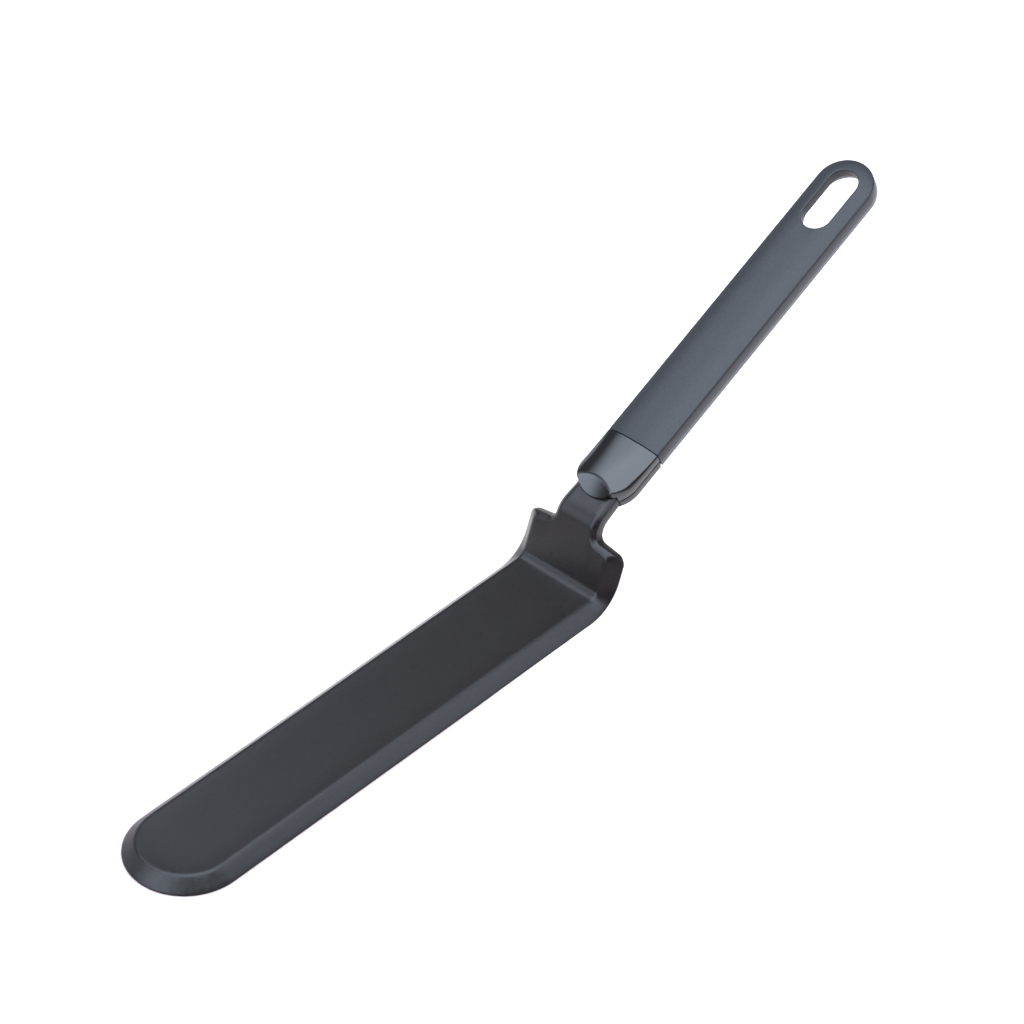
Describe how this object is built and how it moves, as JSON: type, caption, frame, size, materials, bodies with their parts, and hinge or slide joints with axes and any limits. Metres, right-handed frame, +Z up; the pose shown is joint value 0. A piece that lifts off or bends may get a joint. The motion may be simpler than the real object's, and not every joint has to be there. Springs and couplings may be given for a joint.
{
  "type": "pancake spatula",
  "caption": "Long narrow pancake spatula: flat round-tipped blade with a sloping border, upturned heel, slim neck, glossy ferrule and matte grip with a hanging slot.",
  "frame": {"origin": "on the surface that the blade lies on, in the middle of the length and width", "axes": "+X along the tool from the blade's tip to the handle's end, +Y across it, +Z up from the surface"},
  "size_m": [0.3626, 0.0434, 0.0989],
  "materials": {
    "nylon": "black nylon with a fine matte grain",
    "gloss": "black polypropylene, polished",
    "matte": "dark grey polypropylene, satin"
  },
  "bodies": {
    "root": {"blade": "nylon", "ferrule_upper": "gloss", "ferrule_lower": "gloss", "grip_upper": "matte", "grip_lower": "matte"}
  },
  "joints": []
}
